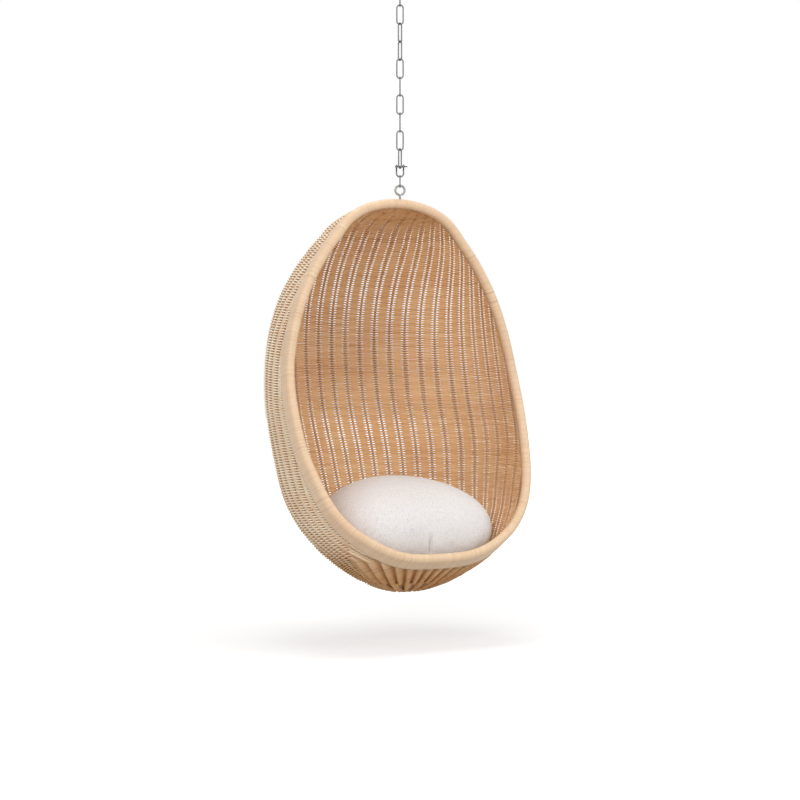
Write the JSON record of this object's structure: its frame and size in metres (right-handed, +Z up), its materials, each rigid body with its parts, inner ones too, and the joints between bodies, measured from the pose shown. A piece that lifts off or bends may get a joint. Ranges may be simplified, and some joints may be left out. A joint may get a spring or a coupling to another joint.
{
  "type": "hanging pod chair",
  "caption": "Egg-shaped hanging chair of woven rattan with a bound pole rim, a round loose seat cushion, and a steel chain from a ceiling plate.",
  "frame": {"origin": "middle of the ceiling plate's flat top face, which bears against the ceiling", "axes": "+Z up, out of the plate into the ceiling; the chair hangs below it and its opening faces -Y; X runs across the seat"},
  "size_m": [0.871, 0.701, 1.9907],
  "materials": {
    "rattan_stake": "matte",
    "rattan_weave": "matte",
    "rattan_peel": "satin",
    "cushion_cloth": "matte",
    "steel": "satin"
  },
  "bodies": {
    "ceiling_mount": {"ceiling_plate": "steel", "ceiling_loop": "steel"},
    "chain_link_01": {"chain_link_01": "steel"},
    "chain_link_02": {"chain_link_02": "steel"},
    "chain_link_03": {"chain_link_03": "steel"},
    "chain_link_04": {"chain_link_04": "steel"},
    "chain_link_05": {"chain_link_05": "steel"},
    "chain_link_06": {"chain_link_06": "steel"},
    "chain_link_07": {"chain_link_07": "steel"},
    "chain_link_08": {"chain_link_08": "steel"},
    "chain_link_09": {"chain_link_09": "steel"},
    "chain_link_10": {"chain_link_10": "steel"},
    "shackle": {"shackle_bow": "steel", "shackle_pin": "steel"},
    "connecting_link": {"connecting_link": "steel"},
    "chair": {"stake_01": "rattan_stake", "stake_02": "rattan_stake", "stake_03": "rattan_stake", "stake_04": "rattan_stake", "stake_05": "rattan_stake", "stake_06": "rattan_stake", "stake_07": "rattan_stake", "stake_08": "rattan_stake", "stake_09": "rattan_stake", "stake_10": "rattan_stake", "stake_11": "rattan_stake", "stake_12": "rattan_stake", "stake_13": "rattan_stake", "stake_14": "rattan_stake", "stake_15": "rattan_stake", "stake_16": "rattan_stake", "stake_17": "rattan_stake", "stake_18": "rattan_stake", "stake_19": "rattan_stake", "stake_20": "rattan_stake", "stake_21": "rattan_stake", "stake_22": "rattan_stake", "stake_23": "rattan_stake", "stake_24": "rattan_stake", "stake_25": "rattan_stake", "stake_26": "rattan_stake", "stake_27": "rattan_stake", "stake_28": "rattan_stake", "stake_29": "rattan_stake", "stake_30": "rattan_stake", "stake_31": "rattan_stake", "stake_32": "rattan_stake", "stake_33": "rattan_stake", "stake_34": "rattan_stake", "stake_35": "rattan_stake", "stake_36": "rattan_stake", "weave_course_1": "rattan_weave", "weave_course_2": "rattan_weave", "weave_course_3": "rattan_weave", "weave_course_4": "rattan_weave", "base_knot": "rattan_stake", "rim_pole": "steel", "rim_wrap": "rattan_peel", "screw_eye": "steel"},
    "cushion": {"seat_cushion": "cushion_cloth"}
  },
  "joints": [
    {"name": "chain_hinge_01", "type": "hinge", "parent": "ceiling_mount", "child": "chain_link_01", "pos_m": [0, 0, -0.0353], "axis": [0.866, -0.5, 0], "range_deg": [-15, 15]},
    {"name": "chain_twist_upper", "type": "hinge", "parent": "chain_link_01", "child": "chain_link_02", "pos_m": [0, 0, -0.09195], "axis": [0, 0, 1], "range_deg": [-30, 30]},
    {"name": "chain_hinge_03", "type": "hinge", "parent": "chain_link_02", "child": "chain_link_03", "pos_m": [0, 0, -0.15035], "axis": [0.866, -0.5, 0], "range_deg": [-15, 15]},
    {"name": "chain_hinge_04", "type": "hinge", "parent": "chain_link_03", "child": "chain_link_04", "pos_m": [0, 0, -0.20875], "axis": [0.866, 0.5, 0], "range_deg": [-15, 15]},
    {"name": "chain_hinge_05", "type": "hinge", "parent": "chain_link_04", "child": "chain_link_05", "pos_m": [0, 0, -0.26715], "axis": [0, 1, 0], "range_deg": [-15, 15]},
    {"name": "chain_twist_middle", "type": "hinge", "parent": "chain_link_05", "child": "chain_link_06", "pos_m": [0, 0, -0.32555], "axis": [0, 0, 1], "range_deg": [-30, 30]},
    {"name": "chain_hinge_07", "type": "hinge", "parent": "chain_link_06", "child": "chain_link_07", "pos_m": [0, 0, -0.38395], "axis": [0.5, 0.866, 0], "range_deg": [-15, 15]},
    {"name": "chain_hinge_08", "type": "hinge", "parent": "chain_link_07", "child": "chain_link_08", "pos_m": [0, 0, -0.44235], "axis": [0.866, -0.5, 0], "range_deg": [-15, 15]},
    {"name": "chain_twist_lower", "type": "hinge", "parent": "chain_link_08", "child": "chain_link_09", "pos_m": [0, 0, -0.50075], "axis": [0, 0, 1], "range_deg": [-30, 30]},
    {"name": "chain_hinge_10", "type": "hinge", "parent": "chain_link_09", "child": "chain_link_10", "pos_m": [0, 0, -0.55915], "axis": [0.866, -0.5, 0], "range_deg": [-15, 15]},
    {"name": "shackle_hinge", "type": "hinge", "parent": "chain_link_10", "child": "shackle", "pos_m": [0, 0, -0.612], "axis": [0.866, -0.5, 0], "range_deg": [-15, 15]},
    {"name": "connecting_link_hinge", "type": "hinge", "parent": "shackle", "child": "connecting_link", "pos_m": [0, 0, -0.6455], "axis": [0.866, -0.5, 0], "range_deg": [-15, 15]},
    {"name": "chair_hinge", "type": "hinge", "parent": "connecting_link", "child": "chair", "pos_m": [0, 0, -0.6799], "axis": [0.5, 0.866, 0], "range_deg": [-15, 15]},
    {"name": "cushion_lift", "type": "slide", "parent": "chair", "child": "cushion", "axis": [0, 0, 1], "range_m": [0, 0.2]}
  ]
}
